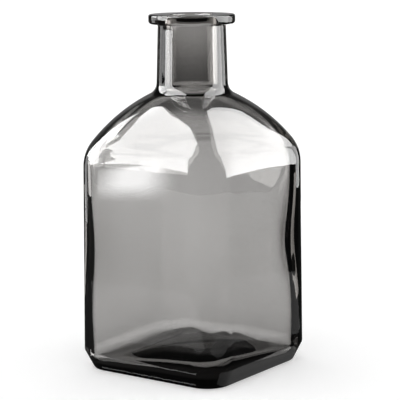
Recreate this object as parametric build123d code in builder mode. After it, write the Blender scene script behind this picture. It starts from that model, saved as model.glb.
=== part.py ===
from build123d import *
import os
from math import acos, cos, degrees, radians, sin, sqrt, tan

# Square bottle vase of smoky glass, blown in a mould as one piece.
# Millimetres, +Z up. It stands on z = 0 with its axis on Z and its faces square to X and Y.

# Body, outside
height = 180
heel_width = 89.4
shoulder_width = 87.8
corner_radius = 15
heel_height = 9.6
heel_inset = 4.4
foot_corner_radius = 12
heel_edge_radius = 3
foot_edge_radius = 1.5

# Shoulders, measured along the corners: a tight bend, then a long flat crown
bend_angle = 40
bend_radius = 20
crown_radius = 91

# Neck and lip
neck_root_width = 36
neck_top_width = 34.2
neck_length = 29.4
neck_flare_radius = 6.4
lip_width = 43.6
lip_thickness = 4.8
lip_upper_edge_radius = 1
lip_lower_edge_radius = 1.6
lip_root_radius = 0.8

# Inside
face_wall = 3.5
inner_corner_radius = 14
inner_bend_radius = 16
inner_crown_radius = 87
inner_flare_radius = 4
bore_width = 22
mouth_edge_radius = 1.6
floor_thickness = 5
floor_edge_radius = 4

# The middle of the floor is raised, over a hollow inside the ring that the bottle stands on
rise_foot_width = 72
rise_top_width = 56
rise_height = 3.5
rise_corner_radius = 14
rise_edge_radius = 3
push_up_width = 58
push_up_depth = 1.5

# The sides of an outline bow out from flat at the shoulder line to part of a circle at the neck
full_bow_angle = 22.5
bend_steps = 4
crown_steps = 5


def square_outline(corner_centre, radius, bow_angle):
    """Closed square outline with round corners whose centres lie corner_centre from both axes."""
    corners = []
    for quarter in range(4):
        turn = 90 * quarter
        centre = Vector(corner_centre, corner_centre).rotate(Axis.Z, turn)
        corners.append(CenterArc(centre, radius, turn + bow_angle, 90 - 2 * bow_angle))
    for quarter in range(4):
        start = corners[quarter] @ 1
        end = corners[(quarter + 1) % 4] @ 0
        if bow_angle == 0:
            Line(start, end)
        else:
            side_reach = radius + corner_centre * (1 + tan(radians(bow_angle / 2)))
            middle = Vector(side_reach, 0).rotate(Axis.Z, 90 * (quarter + 1))
            ThreePointArc(start, middle, end)


def outline_face(level, corner_centre, radius, bow_angle=0):
    """The outline filled in, as a horizontal section at a height."""
    with BuildSketch(Plane.XY.offset(level)) as section:
        with BuildLine():
            square_outline(corner_centre, radius, bow_angle)
        make_face()
    return section.sketch


class Shoulder:
    """Profile along a corner, from the upright wall up to the neck, with heights above that wall."""

    def __init__(self, half_width, radius, bend, crown, neck_radius, flare):
        self.bend = bend
        self.crown = crown
        self.corner_centre = half_width - radius
        self.reach = self.corner_centre * sqrt(2) + radius
        turn = radians(bend_angle)
        self.crown_x = self.reach - bend + (bend - crown) * cos(turn)
        self.crown_rise = (bend - crown) * sin(turn)
        end_cosine = (neck_radius + flare - self.crown_x) / (crown + flare)
        self.end_angle = degrees(acos(end_cosine))
        self.end_rise = self.point(self.end_angle)[1]
        self.flare_rise = self.end_rise + flare * sin(radians(self.end_angle))

    def point(self, angle):
        """Distance from the axis and rise, where the wall leans in by an angle."""
        turn = radians(angle)
        if angle <= bend_angle:
            return self.reach - self.bend * (1 - cos(turn)), self.bend * sin(turn)
        return self.crown_x + self.crown * cos(turn), self.crown_rise + self.crown * sin(turn)

    def section(self, angle, wall_height):
        """Horizontal section there, rounder the higher it is and a circle at the top."""
        reach, rise = self.point(angle)
        level = wall_height + rise
        round_share = (rise / self.end_rise) ** 2
        corner_centre = reach * self.corner_centre / self.reach * (1 - round_share)
        radius = reach - corner_centre * sqrt(2)
        return outline_face(level, corner_centre, radius, full_bow_angle * round_share)

    def sections(self, wall_height):
        """Sections from the wall to the neck, evenly spaced in lean on each arc."""
        crown_turn = self.end_angle - bend_angle
        angles = [bend_angle * step / bend_steps for step in range(bend_steps + 1)]
        angles += [bend_angle + crown_turn * step / crown_steps for step in range(1, crown_steps + 1)]
        return [self.section(angle, wall_height) for angle in angles]


# Sizes that follow from the ones above
heel_half = heel_width / 2
shoulder_half = shoulder_width / 2
foot_half = heel_half - heel_inset
neck_root_radius = neck_root_width / 2
neck_top_radius = neck_top_width / 2
lip_radius = lip_width / 2
lip_underside = height - lip_thickness
bore_radius = bore_width / 2
push_up_radius = push_up_width / 2
push_up_sphere = (push_up_radius**2 + push_up_depth**2) / (2 * push_up_depth)
rise_foot_centre = rise_foot_width / 2 - rise_corner_radius
rise_top_centre = rise_top_width / 2 - rise_corner_radius
rise_level = floor_thickness + rise_height

outer = Shoulder(
    shoulder_half, corner_radius, bend_radius, crown_radius, neck_root_radius, neck_flare_radius
)
inner = Shoulder(
    shoulder_half - face_wall,
    inner_corner_radius,
    inner_bend_radius,
    inner_crown_radius,
    bore_radius,
    inner_flare_radius,
)

# Heights that follow: the walls fill what the dome, neck and lip leave of the height
shoulder_height = lip_underside - neck_length - outer.flare_rise
wall_slope = (heel_half - shoulder_half) / (shoulder_height - heel_height)
floor_half = heel_half - face_wall - wall_slope * (floor_thickness - heel_height)

# The raised middle of the floor
with BuildPart() as rise:
    rise_foot = outline_face(floor_thickness, rise_foot_centre, rise_corner_radius)
    rise_top = outline_face(rise_level, rise_top_centre, rise_corner_radius)
    loft([rise_foot, rise_top], ruled=True)
    fillet(rise.faces().sort_by(Axis.Z)[-1].edges(), radius=rise_edge_radius)

# The hollow inside: square room, shoulders and round bore
with BuildPart() as hollow:
    room_floor = outline_face(floor_thickness, floor_half - inner_corner_radius, inner_corner_radius)
    room_top = outline_face(shoulder_height, inner.corner_centre, inner_corner_radius)
    loft([room_floor, room_top], ruled=True)
    fillet(hollow.faces().sort_by(Axis.Z)[0].edges(), radius=floor_edge_radius)
    add(rise.part, mode=Mode.SUBTRACT)
    loft(inner.sections(shoulder_height))
    with BuildSketch(Plane.XZ):
        with BuildLine():
            flare_centre = (bore_radius + inner_flare_radius, shoulder_height + inner.flare_rise)
            flare = CenterArc(flare_centre, inner_flare_radius, 180, inner.end_angle)
            mouth_level = height - mouth_edge_radius
            mouth_centre = (bore_radius + mouth_edge_radius, mouth_level)
            mouth = CenterArc(mouth_centre, mouth_edge_radius, 180, -90)
            Line(flare @ 0, mouth @ 0)
            Polyline(mouth @ 1, (0, height), (0, shoulder_height + inner.end_rise), flare @ 1)
        make_face()
    revolve(axis=Axis.Z)

# The glass: heel, walls, shoulders, neck and lip, with the hollow and the push-up cut out
with BuildPart() as glass_bottle:
    foot = outline_face(0, foot_half - foot_corner_radius, foot_corner_radius)
    heel = outline_face(heel_height, heel_half - corner_radius, corner_radius)
    wall_top = outline_face(shoulder_height, outer.corner_centre, corner_radius)
    loft([foot, heel, wall_top], ruled=True)
    heel_edges = glass_bottle.edges().filter_by_position(Axis.Z, heel_height, heel_height)
    fillet(heel_edges, radius=heel_edge_radius)
    fillet(glass_bottle.faces().sort_by(Axis.Z)[0].edges(), radius=foot_edge_radius)
    loft(outer.sections(shoulder_height))
    with BuildSketch(Plane.XZ) as neck_profile:
        with BuildLine():
            flare_centre = (neck_root_radius + neck_flare_radius, shoulder_height + outer.flare_rise)
            flare = CenterArc(flare_centre, neck_flare_radius, 180, outer.end_angle)
            neck = Line(flare @ 0, (neck_top_radius, lip_underside))
            lip_under = Line(neck @ 1, (lip_radius, lip_underside))
            lip_side = Line(lip_under @ 1, (lip_radius, height))
            Polyline(lip_side @ 1, (0, height), (0, shoulder_height + outer.end_rise), flare @ 1)
        make_face()
        corners = neck_profile.vertices()
        fillet(corners.sort_by_distance(lip_side @ 1)[0], radius=lip_upper_edge_radius)
        fillet(corners.sort_by_distance(lip_side @ 0)[0], radius=lip_lower_edge_radius)
        fillet(corners.sort_by_distance(neck @ 1)[0], radius=lip_root_radius)
    revolve(axis=Axis.Z)
    add(hollow.part, mode=Mode.SUBTRACT)
    with Locations((0, 0, push_up_depth - push_up_sphere)):
        Sphere(push_up_sphere, mode=Mode.SUBTRACT)
glass_bottle.part.label = "glass_bottle"

os.makedirs("parts", exist_ok=True)
export_step(glass_bottle.part, "parts/glass_bottle.step")
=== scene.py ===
import math

import bpy
from mathutils import Matrix, Vector, noise


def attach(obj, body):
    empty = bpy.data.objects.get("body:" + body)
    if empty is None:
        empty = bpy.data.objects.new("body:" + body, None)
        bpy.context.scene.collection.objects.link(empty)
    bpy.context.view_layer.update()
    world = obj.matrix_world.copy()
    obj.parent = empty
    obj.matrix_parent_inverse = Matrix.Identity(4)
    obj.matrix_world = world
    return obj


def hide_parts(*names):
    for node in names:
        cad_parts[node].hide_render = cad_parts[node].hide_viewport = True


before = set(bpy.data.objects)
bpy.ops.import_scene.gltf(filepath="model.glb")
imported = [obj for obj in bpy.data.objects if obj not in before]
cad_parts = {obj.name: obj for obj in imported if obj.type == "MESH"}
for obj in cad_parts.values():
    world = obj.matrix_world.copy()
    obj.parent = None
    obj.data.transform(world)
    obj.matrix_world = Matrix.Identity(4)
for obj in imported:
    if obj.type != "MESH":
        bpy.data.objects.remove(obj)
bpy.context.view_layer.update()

# Square bottle vase of smoky glass, blown in one piece. Outside, in millimetres
MM = 0.001
HEIGHT = 180
HEEL_HALF = 44.7
SHOULDER_HALF = 43.9
CORNER_RADIUS = 15
HEEL_HEIGHT = 9.6
HEEL_EDGE_RADIUS = 3
FOOT_HALF = 40.3
FOOT_CORNER_RADIUS = 12
FOOT_EDGE_RADIUS = 1.5
PUSH_UP_RADIUS = 29
PUSH_UP_DEPTH = 0.8
BEND_ANGLE = 40
BEND_RADIUS = 20
CROWN_RADIUS = 91
NECK_ROOT_RADIUS = 18
NECK_TOP_RADIUS = 17.1
NECK_LENGTH = 29.4
NECK_FLARE_RADIUS = 6.4
LIP_RADIUS = 21.8
LIP_THICKNESS = 4.8
LIP_UPPER_EDGE_RADIUS = 1
LIP_LOWER_EDGE_RADIUS = 1.6
LIP_ROOT_RADIUS = 0.8

# Inside, in millimetres
FACE_WALL = 3.5
INNER_CORNER_RADIUS = 14
INNER_BEND_RADIUS = 16
INNER_CROWN_RADIUS = 87
INNER_FLARE_RADIUS = 4
BORE_RADIUS = 11
MOUTH_EDGE_RADIUS = 1.6
FLOOR_THICKNESS = 4
# The upright walls end this far above the floor's edge
ROOM_MARGIN = 1

# The floor's edge is tight at the back corner and rounder toward the front one
FLOOR_EDGE_BACK = 3
FLOOR_EDGE_FRONT = 12
FLOOR_EDGE_SHARE = 0.2
FLOOR_EDGE_SPAN = 100
# Its middle is raised unevenly: centre, and reach towards -X, +X, -Y and +Y
RISE_HEIGHT = 6
RISE_CENTRE = (-2.7, 4.2)
RISE_REACHES = (26.5, 33.5, 36, 35.5)
RISE_FLATNESS = 0.36
# The floor also rises toward the front corner: by how much, and over which distance
FRONT_RISE = 2
FRONT_SPAN = 75
# Lumps on the floor: place, spread and height
LUMPS = [(-27, 33, 8, 3.2), (2, 33, 5.5, 2.2), (-12, 33, 6, -0.6)]

# The blown walls aren't even either. Radius of each inner corner, by its direction in degrees from +X
CORNER_RADII = {45: 17, 135: 13, -135: 11.5, -45: 13}
# Swellings of the inner wall: direction, level, spread in degrees, spread in height, and how far out
SWELLINGS = [(-140, 66, 20, 22, -1.4), (45, 66, 14, 21, -3.0)]
# Waves in the inner wall: how far out, and their size across and upright
WAVES = [(0.42, 26, 34), (0.05, 9, 26)]
# The walls are thicker toward the base: by how much, and up to which level
BASE_EXTRA = 1.3
BASE_EXTRA_TOP = 80
# Distances from the axis between which the unevenness of the walls sets in
UNEVEN_FROM = 16
UNEVEN_FULL = 28

# Mesh density: segments on each corner and side, spacing of rings, and steps on each stretch
CORNER_SEGMENTS = 28
SIDE_SEGMENTS = 24
RING_SPACING = 1.6
PUSH_UP_STEPS = 16
FOOT_STEPS = 6
HEEL_STEPS = 5
EDGE_STEPS = 6
BEND_STEPS = 12
CROWN_STEPS = 24
FLARE_STEPS = 12
NECK_STEPS = 14
LIP_ROOT_STEPS = 4
LIP_UPPER_EDGE_STEPS = 5
LIP_TOP_STEPS = 4
BORE_STEPS = 18
FLOOR_EDGE_STEPS = 16
FLOOR_RING_STEPS = 12
FLOOR_STEPS = 24

# How far the sides of an outline turn where it is a circle
FULL_BOW = math.radians(22.5)

# The glass: refraction, and the smoky grey that its thickness absorbs
GLASS_IOR = 1.52
SMOKE_COLOUR = (0.8, 0.795, 0.79, 1)
SMOKE_DENSITY = 560
WHITE = (1, 1, 1, 1)


def lerp(a, b, share):
    """The value at a share of the way between two."""
    return a + (b - a) * share


def clamp(share):
    return min(1, max(0, share))


def steps(count, first=0):
    """Shares from 0 to 1 in equal steps; first=1 leaves the start out."""
    return [i / count for i in range(first, count + 1)]


def levels(first, last):
    """Evenly spaced levels from one to another."""
    count = round(abs(last - first) / RING_SPACING)
    return [lerp(first, last, share) for share in steps(count)]


def outline(level, centre, radius, bow=0.0):
    """Points of a square outline with round corners, its sides flat or bowed."""
    side_reach = radius + centre * (1 + math.tan(bow / 2))
    shares = steps(SIDE_SEGMENTS)[:-1]
    if bow == 0:
        quarter_points = [(side_reach, lerp(-centre, centre, share)) for share in shares]
    else:
        side_radius = radius + centre / math.sin(bow)
        side_centre = side_reach - side_radius
        angles = [lerp(-bow, bow, share) for share in shares]
        quarter_points = [
            (side_centre + side_radius * math.cos(angle), side_radius * math.sin(angle)) for angle in angles
        ]
    for share in steps(CORNER_SEGMENTS)[:-1]:
        angle = lerp(bow, math.pi / 2 - bow, share)
        quarter_points.append((centre + radius * math.cos(angle), centre + radius * math.sin(angle)))
    points = []
    for quarter in range(4):
        c, s = math.cos(math.pi / 2 * quarter), math.sin(math.pi / 2 * quarter)
        points += [Vector((x * c - y * s, x * s + y * c, level)) for x, y in quarter_points]
    return points


def circle(level, radius):
    """A round outline with as many points as the square ones."""
    return outline(level, 0, radius, FULL_BOW)


def morph(first, last, count):
    """Rings between two rings, with the last but not the first."""
    return [[a.lerp(b, share) for a, b in zip(first, last)] for share in steps(count, 1)]


def arc(centre_x, centre_z, radius, start, end, count):
    """Points of a profile arc from one angle to another, in degrees, without its start."""
    points = []
    for share in steps(count, 1):
        angle = math.radians(lerp(start, end, share))
        points.append((centre_x + radius * math.cos(angle), centre_z + radius * math.sin(angle)))
    return points


class Shoulder:
    """Profile along a corner, from the wall up to the neck, with heights above the wall."""

    def __init__(self, half_width, radius, bend, crown, neck_radius, flare):
        self.bend = bend
        self.crown = crown
        self.flare = flare
        self.neck_radius = neck_radius
        self.centre = half_width - radius
        self.reach = self.centre * math.sqrt(2) + radius
        turn = math.radians(BEND_ANGLE)
        self.crown_x = self.reach - bend + (bend - crown) * math.cos(turn)
        self.crown_rise = (bend - crown) * math.sin(turn)
        end_cosine = (neck_radius + flare - self.crown_x) / (crown + flare)
        self.end_angle = math.degrees(math.acos(end_cosine))
        self.end_rise = self.point(self.end_angle)[1]
        self.flare_rise = self.end_rise + flare * math.sin(math.radians(self.end_angle))

    def point(self, angle):
        """Distance from the axis and rise, where the wall leans in by an angle."""
        turn = math.radians(angle)
        if angle <= BEND_ANGLE:
            return self.reach - self.bend * (1 - math.cos(turn)), self.bend * math.sin(turn)
        return self.crown_x + self.crown * math.cos(turn), self.crown_rise + self.crown * math.sin(turn)

    def ring(self, angle):
        """Ring there, rounder the higher it is and a circle at the top."""
        reach, rise = self.point(angle)
        round_share = (rise / self.end_rise) ** 2
        centre = reach * self.centre / self.reach * (1 - round_share)
        return outline(WALL_TOP + rise, centre, reach - centre * math.sqrt(2), FULL_BOW * round_share)

    def rings(self):
        """Rings above the wall up to the flare."""
        angles = [BEND_ANGLE * share for share in steps(BEND_STEPS, 1)]
        angles += [lerp(BEND_ANGLE, self.end_angle, share) for share in steps(CROWN_STEPS, 1)]
        return [self.ring(angle) for angle in angles]

    def flare_rings(self):
        """Rings from the shoulder's end up into the neck."""
        level = WALL_TOP + self.flare_rise
        start = 180 + self.end_angle
        points = arc(self.neck_radius + self.flare, level, self.flare, start, 180, FLARE_STEPS)
        return [circle(z, x) for x, z in points]


outer = Shoulder(
    SHOULDER_HALF, CORNER_RADIUS, BEND_RADIUS, CROWN_RADIUS, NECK_ROOT_RADIUS, NECK_FLARE_RADIUS
)
inner = Shoulder(
    SHOULDER_HALF - FACE_WALL,
    INNER_CORNER_RADIUS,
    INNER_BEND_RADIUS,
    INNER_CROWN_RADIUS,
    BORE_RADIUS,
    INNER_FLARE_RADIUS,
)
LIP_UNDERSIDE = HEIGHT - LIP_THICKNESS
WALL_TOP = LIP_UNDERSIDE - NECK_LENGTH - outer.flare_rise
HEEL_LEAN = math.atan2(HEEL_HALF - FOOT_HALF, HEEL_HEIGHT)


def wall_half(level):
    """Half the width across the faces, at a height on the drafted walls."""
    return lerp(HEEL_HALF, SHOULDER_HALF, (level - HEEL_HEIGHT) / (WALL_TOP - HEEL_HEIGHT))


def foot_rings():
    """Underside: push-up, the flat ring that the bottle stands on, and the foot's round edge."""
    sphere = (PUSH_UP_RADIUS**2 + PUSH_UP_DEPTH**2) / (2 * PUSH_UP_DEPTH)
    rings = []
    for share in steps(PUSH_UP_STEPS, 1):
        radius = PUSH_UP_RADIUS * share
        drop = sphere - math.sqrt(sphere**2 - radius**2)
        rings.append(circle(PUSH_UP_DEPTH - drop, radius))
    turn = math.pi / 2 - HEEL_LEAN
    tangent = FOOT_EDGE_RADIUS * math.tan(turn / 2)
    centre = FOOT_HALF - FOOT_CORNER_RADIUS
    rings += morph(rings[-1], outline(0, centre, FOOT_CORNER_RADIUS - tangent), FOOT_STEPS)
    for share in steps(EDGE_STEPS, 1):
        angle = turn * share
        inset = tangent - FOOT_EDGE_RADIUS * math.sin(angle)
        level = FOOT_EDGE_RADIUS * (1 - math.cos(angle))
        rings.append(outline(level, centre, FOOT_CORNER_RADIUS - inset))
    return rings


def heel_rings():
    """The bevel above the foot and the round edge where it meets the walls."""
    tangent = HEEL_EDGE_RADIUS * math.tan(HEEL_LEAN / 2)
    bevel_top = HEEL_HEIGHT - tangent * math.cos(HEEL_LEAN)
    rings = []
    for share in steps(HEEL_STEPS, 1):
        level = lerp(FOOT_EDGE_RADIUS, bevel_top, share)
        half = lerp(FOOT_HALF, HEEL_HALF, level / HEEL_HEIGHT)
        radius = lerp(FOOT_CORNER_RADIUS, CORNER_RADIUS, level / HEEL_HEIGHT)
        rings.append(outline(level, half - radius, radius))
    for share in steps(EDGE_STEPS, 1):
        angle = HEEL_LEAN * (1 - share)
        level = HEEL_HEIGHT + tangent - HEEL_EDGE_RADIUS * math.sin(angle)
        inset = HEEL_EDGE_RADIUS * (1 - math.cos(angle))
        rings.append(outline(level, HEEL_HALF - CORNER_RADIUS, CORNER_RADIUS - inset))
    return rings


def wall_rings():
    """The four walls outside, from the heel up to the shoulders."""
    low = HEEL_HEIGHT + HEEL_EDGE_RADIUS
    return [outline(z, wall_half(z) - CORNER_RADIUS, CORNER_RADIUS) for z in levels(low, WALL_TOP)]


def neck_rings():
    """Neck, lip and mouth, from the top of the flare over the lip and down to the bore's end."""
    root = WALL_TOP + outer.flare_rise
    neck_top = LIP_UNDERSIDE - LIP_ROOT_RADIUS
    profile = []
    for share in steps(NECK_STEPS, 1):
        profile.append((lerp(NECK_ROOT_RADIUS, NECK_TOP_RADIUS, share), lerp(root, neck_top, share)))
    profile += arc(NECK_TOP_RADIUS + LIP_ROOT_RADIUS, neck_top, LIP_ROOT_RADIUS, 180, 90, LIP_ROOT_STEPS)
    radius = LIP_LOWER_EDGE_RADIUS
    profile += [(LIP_RADIUS - radius, LIP_UNDERSIDE)]
    profile += arc(LIP_RADIUS - radius, LIP_UNDERSIDE + radius, radius, -90, 0, EDGE_STEPS)
    radius = LIP_UPPER_EDGE_RADIUS
    profile += [(LIP_RADIUS, HEIGHT - radius)]
    profile += arc(LIP_RADIUS - radius, HEIGHT - radius, radius, 0, 90, LIP_UPPER_EDGE_STEPS)
    mouth = BORE_RADIUS + MOUTH_EDGE_RADIUS
    profile += [(lerp(LIP_RADIUS - radius, mouth, share), HEIGHT) for share in steps(LIP_TOP_STEPS, 1)]
    bore_top = HEIGHT - MOUTH_EDGE_RADIUS
    profile += arc(mouth, bore_top, MOUTH_EDGE_RADIUS, 90, 180, EDGE_STEPS)
    bore_end = WALL_TOP + inner.flare_rise
    profile += [(BORE_RADIUS, lerp(bore_top, bore_end, share)) for share in steps(BORE_STEPS, 1)]
    return [circle(z, x) for x, z in profile]


def floor_level(x, y):
    """Level of the floor inside, away from its round edge."""
    x_off, y_off = x - RISE_CENTRE[0], y - RISE_CENTRE[1]
    x_share = x_off / (RISE_REACHES[0] if x_off < 0 else RISE_REACHES[1])
    y_share = y_off / (RISE_REACHES[2] if y_off < 0 else RISE_REACHES[3])
    off = min(1, math.sqrt(x_share**4 + y_share**4))
    level = FLOOR_THICKNESS + RISE_HEIGHT * (1 - lerp(off, off * off, RISE_FLATNESS))
    level += FRONT_RISE * clamp((x - y) / FRONT_SPAN)
    for lump_x, lump_y, spread, height in LUMPS:
        level += height * math.exp(-((x - lump_x) ** 2 + (y - lump_y) ** 2) / spread**2)
    return level


def floor_point(point, inset):
    """A point of the floor, with the rise of its round edge at a distance from the wall."""
    share = clamp(FLOOR_EDGE_SHARE + (point.x - point.y) / FLOOR_EDGE_SPAN)
    radius = lerp(FLOOR_EDGE_BACK, FLOOR_EDGE_FRONT, share)
    edge = radius - math.sqrt(radius**2 - max(0, radius - inset) ** 2)
    return Vector((point.x, point.y, floor_level(point.x, point.y) + edge))


def room_rings():
    """The room inside, from its walls' top down to the floor and in to its middle."""
    rings = []
    for level in levels(WALL_TOP, FLOOR_THICKNESS + FRONT_RISE + FLOOR_EDGE_FRONT + ROOM_MARGIN):
        half = wall_half(level) - FACE_WALL
        rings.append(outline(level, half - INNER_CORNER_RADIUS, INNER_CORNER_RADIUS))
    centre = wall_half(FLOOR_THICKNESS) - FACE_WALL - INNER_CORNER_RADIUS
    for share in steps(FLOOR_EDGE_STEPS):
        inset = FLOOR_EDGE_FRONT * (1 - math.cos(math.pi / 2 * share))
        flat = outline(0, centre, INNER_CORNER_RADIUS - inset)
        rings.append([floor_point(point, inset) for point in flat])
    flats = morph(flat, circle(0, PUSH_UP_RADIUS), FLOOR_RING_STEPS)
    flats += [circle(0, PUSH_UP_RADIUS * (1 - share)) for share in steps(FLOOR_STEPS, 1)[:-1]]
    return rings + [[floor_point(point, FLOOR_EDGE_FRONT) for point in flat] for flat in flats]


def turn_between(direction, other):
    """Signed turn from one direction to another, in degrees."""
    return (direction - other + 180) % 360 - 180


def square_reach(turn, half, radius):
    """Distance from the axis to a square outline with round corners, at an angle from a corner."""
    angle = math.pi / 4 - abs(turn)
    centre = half - radius
    if half * math.tan(angle) <= centre:
        return half / math.cos(angle)
    c, s = math.cos(angle), math.sin(angle)
    return centre * (c + s) + math.sqrt(radius**2 - (centre * (c - s)) ** 2)


def uneven(point):
    """A point of the inner surface, moved in or out from the axis."""
    reach = math.hypot(point.x, point.y)
    direction = math.degrees(math.atan2(point.y, point.x))
    corner = min(CORNER_RADII, key=lambda at: abs(turn_between(direction, at)))
    turn = math.radians(turn_between(direction, corner))
    half = wall_half(point.z) - FACE_WALL
    shift = square_reach(turn, half, CORNER_RADII[corner]) - square_reach(turn, half, INNER_CORNER_RADIUS)
    for at, level, spread, rise, amount in SWELLINGS:
        aside = turn_between(direction, at) / spread
        shift += amount * math.exp(-(aside**2) - ((point.z - level) / rise) ** 2)
    for amount, width, rise in WAVES:
        shift += amount * noise.noise(Vector((point.x / width, point.y / width, point.z / rise)))
    shift -= BASE_EXTRA * max(0, 1 - point.z / BASE_EXTRA_TOP) ** 2
    round_share = clamp((point.z - WALL_TOP) / inner.end_rise) ** 2
    fade = clamp((reach - UNEVEN_FROM) / (UNEVEN_FULL - UNEVEN_FROM)) * (1 - round_share)
    return point + Vector((point.x, point.y, 0)) / reach * shift * fade


def closed_mesh(name, rings, start_pole, end_pole):
    """One closed mesh from rings of equal length, with a point at each end."""
    count = len(rings[0])
    points = [start_pole] + [point for ring in rings for point in ring] + [end_pole]
    last = len(points) - 1
    faces = [(0, 1 + (i + 1) % count, 1 + i) for i in range(count)]
    for ring in range(len(rings) - 1):
        base = 1 + ring * count
        for i in range(count):
            j = (i + 1) % count
            faces.append((base + i, base + j, base + count + j, base + count + i))
    base = last - count
    faces += [(base + i, base + (i + 1) % count, last) for i in range(count)]
    mesh = bpy.data.meshes.new(name)
    mesh.from_pydata([point * MM for point in points], [], faces)
    mesh.polygons.foreach_set("use_smooth", [True] * len(faces))
    mesh.update()
    piece = bpy.data.objects.new(name, mesh)
    bpy.context.scene.collection.objects.link(piece)
    return piece


def bottle():
    """The glass: up the outside, over the lip, and down the uneven inside to the floor."""
    rings = foot_rings() + heel_rings() + wall_rings() + outer.rings() + outer.flare_rings() + neck_rings()
    inside = inner.rings() + inner.flare_rings()[:-1]
    inside = inside[::-1] + room_rings()
    rings += [[uneven(point) for point in ring] for ring in inside]
    underside_middle = Vector((0, 0, PUSH_UP_DEPTH))
    floor_middle = Vector((0, 0, floor_level(0, 0)))
    return closed_mesh("bottle_glass", rings, underside_middle, floor_middle)


# Materials
def new_material(name):
    material = bpy.data.materials.new(name)
    material.use_nodes = True
    material.node_tree.nodes.clear()
    return material, material.node_tree


def node(tree, kind, **inputs):
    """A node with values set on its own sockets, where _ stands for a space."""
    made = tree.nodes.new(kind)
    for key, value in inputs.items():
        made.inputs[key.replace("_", " ")].default_value = value
    return made


def glass_material():
    material, tree = new_material("smoky_glass")
    shader = node(
        tree,
        "ShaderNodeBsdfPrincipled",
        Base_Color=WHITE,
        Roughness=0,
        IOR=GLASS_IOR,
        Transmission_Weight=1,
    )
    smoke = node(tree, "ShaderNodeVolumeAbsorption", Color=SMOKE_COLOUR, Density=SMOKE_DENSITY)
    out = tree.nodes.new("ShaderNodeOutputMaterial")
    tree.links.new(shader.outputs["BSDF"], out.inputs["Surface"])
    tree.links.new(smoke.outputs["Volume"], out.inputs["Volume"])
    return material


# Camera, where the photograph was taken from. Its focal length is in the photograph's own pixels, and its
# sensor in millimetres; its place is in metres and degrees
PHOTO_SIDE = 400
FOCAL_PIXELS = 1602.5
SENSOR_WIDTH = 36
CAMERA_AZIMUTH = 35.71
CAMERA_DISTANCE = 0.8086
CAMERA_HEIGHT = 0.2209
CAMERA_PITCH = 9.52
CAMERA_YAW = 0.246
CAMERA_ROLL = -0.43

# Stage
# The photograph has a bright backdrop behind the bottle and a dark room on the camera's side. Rays that
# have been reflected see the room, and all others see the backdrop. Lengths are in metres here.
BOUNCES = 24
GLOSSY_BOUNCES = 12
# Light path depths are whole numbers, so tests on them lie half a step off
HALF_STEP = 0.5
ROOM_DARK = 0.03
BACKDROP = 1.0
# The room behind the bottle is a little lighter, with a soft step between the two
ROOM_BACK = 0.25
ROOM_BACK_STEP = (-0.95, -0.85)

FLOOR_SIZE = 60
FLOOR_COLOUR = (0.85, 0.85, 0.85, 1)
FLOOR_GLOW = 0.25
# Light that the glass gathers on the floor inside its foot, on the camera's side
UNDER_GLOW = 0.22
UNDER_SPREAD = (-0.005, 0.035)
UNDER_EDGE = (0.036, 0.042)

# Windows of the room: corners by azimuth and elevation from the shoulders in degrees, distance, strength,
# and how many times a ray may have gone through glass
WINDOWS = {
    "window_left": (
        [
            (-33, -2.2), (-27, 15), (-11, 41), (-6, 62), (6, 73), (-15, 78), (-48, 80), (-61, 75),
            (-74, 66), (-90, 61), (-101, 56), (-103, 47), (-84, 44.5), (-71, 42), (-52, 31), (-42.6, 17),
            (-38.6, 3), (-38.8, -2.2),
        ],
        3, 9.8, 2,
    ),
    "window_far_left": (
        [
            (-39.6, -2.2), (-39.3, 2), (-46, 23), (-57, 34), (-74, 39.5), (-88, 41), (-98, 42), (-95, 33),
            (-96, 20), (-97, 3.5), (-66, 3.5), (-63, -2.2),
        ],
        3, 9.8, 2,
    ),
    "window_right": (
        [
            (111, -6), (96, 23), (94, 54), (110, 70), (137, 74), (175, 73), (185, 70), (181, 64),
            (173, 52), (169, 39), (165, 32), (157, 20), (153, 8), (152, -7),
        ],
        0.7, 6.9, 2,
    ),
    "window_low_left": ([(-97, 3.5), (-97, -2.2), (-63, -2.2), (-66, 3.5)], 3, 2.2, 4),
    "panel_back_left": ([(-97, -12), (-97, 6), (-78, 6), (-78, -12)], 0.5, 1.6, BOUNCES),
    "panel_back_right": ([(147, -9), (147, 8), (168, 8), (168, -9)], 0.6, 3, BOUNCES),
}

# Papers on the table, which glow though they are no lamps: painted light, seen only in reflections. Corners
# by azimuth and distance from the bottle's axis, and strength
PAPER_LEVEL = 0.001
GLOWING_PAPERS = {
    "glowing_paper_back": ([(-166, 0.17), (-166, 0.52), (-134, 0.52), (-134, 0.17)], 2.3),
    "glowing_paper_right": ([(90, 0.12), (40, 0.14), (80, 0.29), (97, 0.29), (143, 0.28), (150, 0.12)], 0.35),
    "glowing_paper_front": ([(0, 0.12), (-40, 0.12), (-55, 0.28), (-35, 0.27), (10, 0.23), (30, 0.14)], 0.55),
}

# Narrow strips beside the foot, which glow though they are no lamps, so that the heel shows painted glints
# and reflections: two opposite corners in millimetres, and strength
STRIP_LEVEL = 0.0002
GLINT_STRIPS = {
    "glint_strip_right": ((40.5, -36), (52, 40), 0.28),
    "glint_strip_front_near": ((-30, -42.2), (29, -41.7), 1.2),
    "glint_strip_front_far": ((-32, -48.2), (30, -47.6), 1.2),
}

# Window light on the table: its sheet, how far out it fades, and its middle and half width
SHINE_AZIMUTH = -35.7
SHINE_SHEET = (0.4, 2.9, 0.2)
SHINE_LEVEL = 0.0015
SHINE_REACH = (0.6, 0.73)
SHINE_ASIDE = -0.005
SHINE_SIDE = (0.006, 0.044)
SHINE_STRENGTH = 12

# Board on the floor behind the bottle, a glowing sheet that shows only through the glass, white near and
# darker far away with painted shade: reach, half angle, and its greys by distance
BOARD_REACH = (0.6, 60)
BOARD_HALF_ANGLE = 25
BOARD_LEVEL = 0.002
BOARD_GREYS = [(0.0, 1.0), (2.8, 1.0), (4.0, 0.75)]
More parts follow.
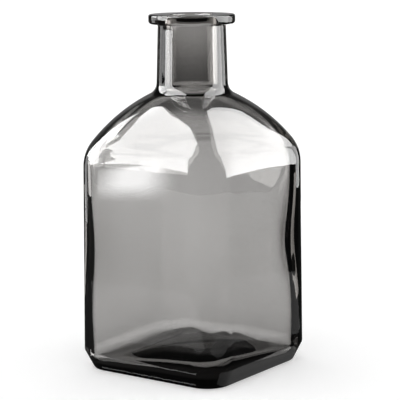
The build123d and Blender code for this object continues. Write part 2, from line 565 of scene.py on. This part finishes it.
# Card behind the neck, a glowing sheet that shows only through the glass and paints shade into the neck,
# darker low down: distance, half width, top, soft edges, and its greys by height
CARD_DISTANCE = 0.1
CARD_HALF = 0.066
CARD_TOP = 0.3
CARD_SIDE = (0.042, 0.066)
CARD_FOOT = (0.118, 0.132)
CARD_GREYS = [
    (0.115, 0.26), (0.129, 0.28), (0.137, 0.34), (0.14, 0.4), (0.147, 0.56), (0.154, 0.8), (0.162, 1.0),
]


def calc(tree, operation, *values):
    """A math node's output from sockets or numbers."""
    made = tree.nodes.new("ShaderNodeMath")
    made.operation = operation
    for slot, value in zip(made.inputs, values):
        if isinstance(value, bpy.types.NodeSocket):
            tree.links.new(value, slot)
        else:
            slot.default_value = value
    return made.outputs[0]


def rising(tree, value, span):
    """0 below a span and 1 above it, with a soft step between."""
    made = node(tree, "ShaderNodeMapRange", From_Min=span[0], From_Max=span[1])
    made.interpolation_type = "SMOOTHSTEP"
    tree.links.new(value, made.inputs["Value"])
    return made.outputs["Result"]


def falling(tree, value, span):
    """1 below a span and 0 above it."""
    return calc(tree, "SUBTRACT", 1, rising(tree, value, span))


def along(tree, vector, direction):
    """How far a vector reaches in a direction."""
    made = tree.nodes.new("ShaderNodeVectorMath")
    made.operation = "DOT_PRODUCT"
    tree.links.new(vector, made.inputs[0])
    made.inputs[1].default_value = direction
    return made.outputs["Value"]


def stage_place(tree):
    """Place on the stage, whose sheets all have their origin at the bottle's foot."""
    return tree.nodes.new("ShaderNodeTexCoord").outputs["Object"]


def coordinates(tree, vector):
    """The X, Y and Z of a vector, by their names."""
    split = tree.nodes.new("ShaderNodeSeparateXYZ")
    tree.links.new(vector, split.inputs[0])
    return split.outputs


def heading(azimuth):
    """Horizontal direction at an azimuth, with 0 on the -Y side."""
    turn = math.radians(azimuth)
    return Vector((math.sin(turn), -math.cos(turn), 0))


def room_ray(tree):
    """Light path, and 1 for a ray that has been reflected on its way and shows the room."""
    path = tree.nodes.new("ShaderNodeLightPath").outputs
    return path, calc(tree, "GREATER_THAN", path["Glossy Depth"], HALF_STEP)


def few_passes(tree, path, most):
    """1 for a ray that went through glass so many times at most."""
    return calc(tree, "LESS_THAN", path["Transmission Depth"], most + HALF_STEP)


def emission(tree, strength):
    glow = tree.nodes.new("ShaderNodeEmission")
    tree.links.new(strength, glow.inputs["Strength"])
    return glow.outputs[0]


def show(tree, factor, first, second):
    """The second shader where the factor is 1, and the first elsewhere."""
    mix = tree.nodes.new("ShaderNodeMixShader")
    out = tree.nodes.new("ShaderNodeOutputMaterial")
    for slot, value in zip(mix.inputs, (factor, first, second)):
        tree.links.new(value, slot)
    tree.links.new(mix.outputs[0], out.inputs["Surface"])


def show_only(material, factor, shader):
    """The shader where the factor is 1, and nothing elsewhere."""
    clear = material.node_tree.nodes.new("ShaderNodeBsdfTransparent")
    show(material.node_tree, factor, clear.outputs[0], shader)
    material.cycles.emission_sampling = "NONE"
    return material


def floor_material():
    """White floor that lights the glass a little, and is dark in reflections."""
    material, tree = new_material("floor")
    path, room = room_ray(tree)
    place = coordinates(tree, stage_place(tree))
    fourth = calc(tree, "ADD", calc(tree, "POWER", place["X"], 4), calc(tree, "POWER", place["Y"], 4))
    inside = falling(tree, calc(tree, "POWER", fourth, 1 / 4), UNDER_EDGE)
    front = rising(tree, calc(tree, "SUBTRACT", place["X"], place["Y"]), UNDER_SPREAD)
    glow = calc(tree, "MULTIPLY_ADD", calc(tree, "MULTIPLY", inside, front), UNDER_GLOW, FLOOR_GLOW)
    seen = calc(tree, "MAXIMUM", path["Is Camera Ray"], path["Is Transmission Ray"])
    lit = tree.nodes.new("ShaderNodeAddShader")
    tree.links.new(node(tree, "ShaderNodeBsdfDiffuse", Color=FLOOR_COLOUR).outputs[0], lit.inputs[0])
    tree.links.new(emission(tree, calc(tree, "MULTIPLY", seen, glow)), lit.inputs[1])
    dark = node(tree, "ShaderNodeEmission", Strength=ROOM_DARK)
    show(tree, room, lit.outputs[0], dark.outputs[0])
    return material


def window_material(name, strength, most):
    """A bright surface that shows only in reflections, and not through too much glass."""
    material, tree = new_material(name)
    path, room = room_ray(tree)
    glow = node(tree, "ShaderNodeEmission", Strength=strength)
    return show_only(material, calc(tree, "MULTIPLY", room, few_passes(tree, path, most)), glow.outputs[0])


def shine_material(name):
    """Window light that shows only on the outer surface, and fades toward the bottle and the sides."""
    material, tree = new_material(name)
    path, room = room_ray(tree)
    place = stage_place(tree)
    reach = rising(tree, along(tree, place, heading(SHINE_AZIMUTH)), SHINE_REACH)
    aside = calc(tree, "SUBTRACT", along(tree, place, heading(SHINE_AZIMUTH + 90)), SHINE_ASIDE)
    narrow = falling(tree, calc(tree, "ABSOLUTE", aside), SHINE_SIDE)
    glow = calc(tree, "MULTIPLY_ADD", calc(tree, "MULTIPLY", reach, narrow), SHINE_STRENGTH, ROOM_DARK)
    outer_only = calc(tree, "MULTIPLY", room, few_passes(tree, path, 0))
    return show_only(material, outer_only, emission(tree, glow))


def grey_ramp(tree, value, knots):
    """A shader that glows in greys between knots of value and grey."""
    ramp = tree.nodes.new("ShaderNodeValToRGB")
    stops = ramp.color_ramp.elements
    full = knots[-1][0]
    for at, grey in knots[1:-1]:
        stops.new(at / full)
    for stop, (at, grey) in zip(stops, knots):
        stop.position = at / full
        stop.color = (grey, grey, grey, 1)
    tree.links.new(calc(tree, "DIVIDE", value, full), ramp.inputs["Fac"])
    glow = tree.nodes.new("ShaderNodeEmission")
    tree.links.new(ramp.outputs["Color"], glow.inputs["Color"])
    return glow.outputs[0]


def through_glass(tree):
    """1 for a ray that comes through the glass and was never reflected."""
    path, room = room_ray(tree)
    return calc(tree, "MULTIPLY", path["Is Transmission Ray"], calc(tree, "SUBTRACT", 1, room))


def board_material(name):
    """Board that shows only through the glass, glowing white near and with painted shade far away."""
    material, tree = new_material(name)
    reach = tree.nodes.new("ShaderNodeVectorMath")
    reach.operation = "LENGTH"
    tree.links.new(stage_place(tree), reach.inputs[0])
    return show_only(material, through_glass(tree), grey_ramp(tree, reach.outputs["Value"], BOARD_GREYS))


def card_material(name):
    """Card with soft edges that shows only through the glass, glowing in greys that paint shade into the
    neck.
    """
    material, tree = new_material(name)
    place = stage_place(tree)
    height = coordinates(tree, place)["Z"]
    aside = calc(tree, "ABSOLUTE", along(tree, place, heading(CAMERA_AZIMUTH + 90)))
    shown = calc(tree, "MULTIPLY", falling(tree, aside, CARD_SIDE), rising(tree, height, CARD_FOOT))
    shown = calc(tree, "MULTIPLY", through_glass(tree), shown)
    return show_only(material, shown, grey_ramp(tree, height, CARD_GREYS))


def sheet(name, points, material):
    """A flat piece of the stage."""
    mesh = bpy.data.meshes.new(name)
    mesh.from_pydata(points, [], [tuple(range(len(points)))])
    mesh.materials.append(material)
    made = bpy.data.objects.new(name, mesh)
    bpy.context.scene.collection.objects.link(made)


def raised(point, level):
    """The point above or below one on the floor, at a level."""
    return Vector((point.x, point.y, level))


def make_windows():
    """The room's windows, around the bottle's shoulders."""
    middle = Vector((0, 0, WALL_TOP * MM))
    for name, (corners, distance, strength, most) in WINDOWS.items():
        points = []
        for azimuth, elevation in corners:
            lift = math.radians(elevation)
            direction = raised(heading(azimuth) * math.cos(lift), math.sin(lift))
            points.append(middle + direction * distance)
        sheet(name, points, window_material(name, strength, most))


# Papers that glow though they are no lamps: painted light that shows in reflections
def make_glowing_papers():
    for name, (corners, strength) in GLOWING_PAPERS.items():
        points = [raised(heading(azimuth) * reach, PAPER_LEVEL) for azimuth, reach in corners]
        sheet(name, points, window_material(name, strength, BOUNCES))


# Strips that glow though they are no lamps, for painted glints along the heel
def make_glint_strips():
    for name, (low, high, strength) in GLINT_STRIPS.items():
        corners = [(low[0], low[1]), (high[0], low[1]), (high[0], high[1]), (low[0], high[1])]
        points = [Vector((x * MM, y * MM, STRIP_LEVEL)) for x, y in corners]
        sheet(name, points, window_material(name, strength, BOUNCES))


def make_shine():
    near, far, half = SHINE_SHEET
    ahead, across = heading(SHINE_AZIMUTH), heading(SHINE_AZIMUTH + 90)
    corners = [(near, -half), (near, half), (far, half), (far, -half)]
    points = [raised(ahead * reach + across * side, SHINE_LEVEL) for reach, side in corners]
    sheet("window_shine", points, shine_material("window_shine"))


def behind(turn, reach, level):
    """A place behind the bottle as the camera sees it, turned aside by an angle."""
    return raised(heading(CAMERA_AZIMUTH + 180 + turn) * reach, level)


def make_boards():
    """The board on the floor behind the bottle, and the card that stands behind its neck: glowing sheets
    with painted shade that show only through the glass.
    """
    near, far = BOARD_REACH
    aside = BOARD_HALF_ANGLE
    corners = [(-aside, near), (aside, near), (aside, far), (-aside, far)]
    points = [behind(turn, reach, BOARD_LEVEL) for turn, reach in corners]
    sheet("shade_board", points, board_material("shade_board"))
    aside = math.degrees(math.atan2(CARD_HALF, CARD_DISTANCE))
    reach = math.hypot(CARD_HALF, CARD_DISTANCE)
    foot = CARD_GREYS[0][0]
    corners = [(-aside, foot), (aside, foot), (aside, CARD_TOP), (-aside, CARD_TOP)]
    points = [behind(turn, reach, level) for turn, level in corners]
    sheet("neck_shade_card", points, card_material("neck_shade_card"))


def make_floor():
    half = FLOOR_SIZE / 2
    points = [Vector((x, y, 0)) for x, y in ((-half, -half), (half, -half), (half, half), (-half, half))]
    sheet("floor", points, floor_material())


def make_world():
    """White to the camera and through the glass, and the dark room in reflections."""
    world = bpy.data.worlds.new("studio")
    bpy.context.scene.world = world
    world.use_nodes = True
    tree = world.node_tree
    tree.nodes.clear()
    path, room = room_ray(tree)
    view = tree.nodes.new("ShaderNodeTexCoord").outputs["Generated"]
    front = rising(tree, along(tree, view, heading(CAMERA_AZIMUTH)), ROOM_BACK_STEP)
    dark = calc(tree, "MULTIPLY_ADD", front, ROOM_DARK - ROOM_BACK, ROOM_BACK)
    strength = calc(tree, "MULTIPLY_ADD", room, calc(tree, "SUBTRACT", dark, BACKDROP), BACKDROP)
    background = node(tree, "ShaderNodeBackground", Color=WHITE)
    tree.links.new(strength, background.inputs["Strength"])
    out = tree.nodes.new("ShaderNodeOutputWorld")
    tree.links.new(background.outputs[0], out.inputs["Surface"])


def make_camera():
    data = bpy.data.cameras.new("camera")
    data.sensor_width = SENSOR_WIDTH
    data.lens = SENSOR_WIDTH * FOCAL_PIXELS / PHOTO_SIDE
    camera = bpy.data.objects.new("camera", data)
    bpy.context.scene.collection.objects.link(camera)
    camera.location = raised(heading(CAMERA_AZIMUTH) * CAMERA_DISTANCE, CAMERA_HEIGHT)
    pan = Matrix.Rotation(math.radians(CAMERA_AZIMUTH - CAMERA_YAW), 3, "Z")
    tilt = Matrix.Rotation(math.radians(90 - CAMERA_PITCH), 3, "X")
    roll = Matrix.Rotation(math.radians(CAMERA_ROLL), 3, "Z")
    camera.rotation_euler = (pan @ tilt @ roll).to_euler()
    bpy.context.scene.camera = camera


make_camera()
glass = bottle()
glass.data.materials.append(glass_material())
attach(glass, "root")
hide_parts("glass_bottle")

make_floor()
make_world()
make_windows()
make_glowing_papers()
make_glint_strips()
make_shine()
make_boards()

scene = bpy.context.scene
scene.view_settings.view_transform = "Standard"
scene.cycles.max_bounces = BOUNCES
scene.cycles.transmission_bounces = BOUNCES
scene.cycles.glossy_bounces = GLOSSY_BOUNCES
